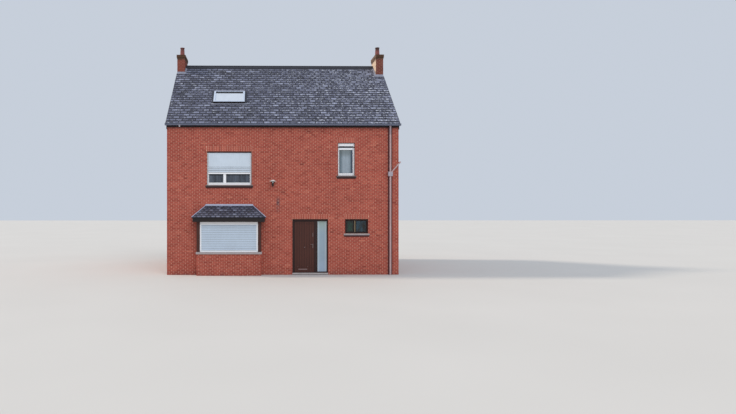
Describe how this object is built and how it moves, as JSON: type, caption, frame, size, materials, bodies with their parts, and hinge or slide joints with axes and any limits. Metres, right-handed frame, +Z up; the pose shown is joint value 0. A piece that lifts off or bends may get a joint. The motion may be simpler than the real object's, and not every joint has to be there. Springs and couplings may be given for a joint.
{
  "type": "detached house",
  "caption": "Two-storey red-brick detached house with a slate gabled roof, chimneys, a hipped bay window and a front door that swings.",
  "frame": {"origin": "middle of the wall plan, on the ground that the walls stand on", "axes": "+Z up, -Y out of the front with the door, +X to the right seen from the front; the ridge runs along X"},
  "size_m": [10.153, 8.8693, 10.871],
  "materials": {
    "brick": "red facing brick, stretcher bond, pale mortar",
    "chimney_brick": "weathered red brick with a grey corbelled crown",
    "floor": "smooth screed",
    "slate": "blue-grey slates, matt",
    "ridge": "dark ridge capping",
    "dark_board": "dark brown stained boards",
    "zinc": "weathered zinc",
    "lead": "dull lead and zinc sheet",
    "roof_window_frame": "light grey cover strips",
    "terracotta": "weathered terracotta",
    "white_frame": "white plastic window frames",
    "shutter": "white slatted roller shutters",
    "clear_glass": "clear double glazing",
    "roof_glass": "glass that mirrors the sky",
    "obscured_glass": "obscured glass",
    "brown_timber": "dark brown stained timber",
    "bluestone": "sawn bluestone",
    "pale_stone": "pale sawn stone",
    "dark_metal": "dark painted metal",
    "lamp_enamel": "white enamel",
    "door_metal": "satin bronze-toned metal"
  },
  "bodies": {
    "house": {"front_wall_left": "brick", "front_wall_over_door": "brick", "front_wall_right": "brick", "back_wall": "brick", "left_gable_wall": "brick", "right_gable_wall": "brick", "ground_floor": "floor", "first_floor": "floor", "attic_floor": "floor", "front_roof_slope": "slate", "back_roof_slope": "slate", "ridge_capping": "ridge", "verge_boards": "dark_board", "eaves_boards": "dark_board", "gutters": "zinc", "downpipes": "zinc", "roof_flashings": "lead", "roof_window_frame": "roof_window_frame", "roof_window_glass": "roof_glass", "chimney_stacks": "chimney_brick", "chimney_pots": "terracotta", "white_window_frames": "white_frame", "wide_window_glass": "clear_glass", "wide_window_shutter": "shutter", "narrow_window_glass": "obscured_glass", "narrow_window_shutter": "shutter", "low_window_frame": "brown_timber", "low_window_glass": "clear_glass", "window_sills": "bluestone", "door_frame": "brown_timber", "door_threshold": "pale_stone", "side_light_glass": "obscured_glass", "bay_apron": "brick", "bay_timber": "brown_timber", "bay_window_frame": "white_frame", "bay_shutter": "shutter", "bay_roof": "slate", "bay_flashing": "lead", "lamp_bracket": "dark_metal", "lamp_shade": "lamp_enamel", "hidden_side_frames": "white_frame", "hidden_side_glass": "clear_glass"},
    "door": {"door_leaf": "brown_timber", "door_furniture": "door_metal"}
  },
  "joints": [
    {"name": "front_door_hinge", "type": "hinge", "parent": "house", "child": "door", "pos_m": [0.493, -3.838, 0], "axis": [0, 0, 1], "range_deg": [0, 90]}
  ]
}
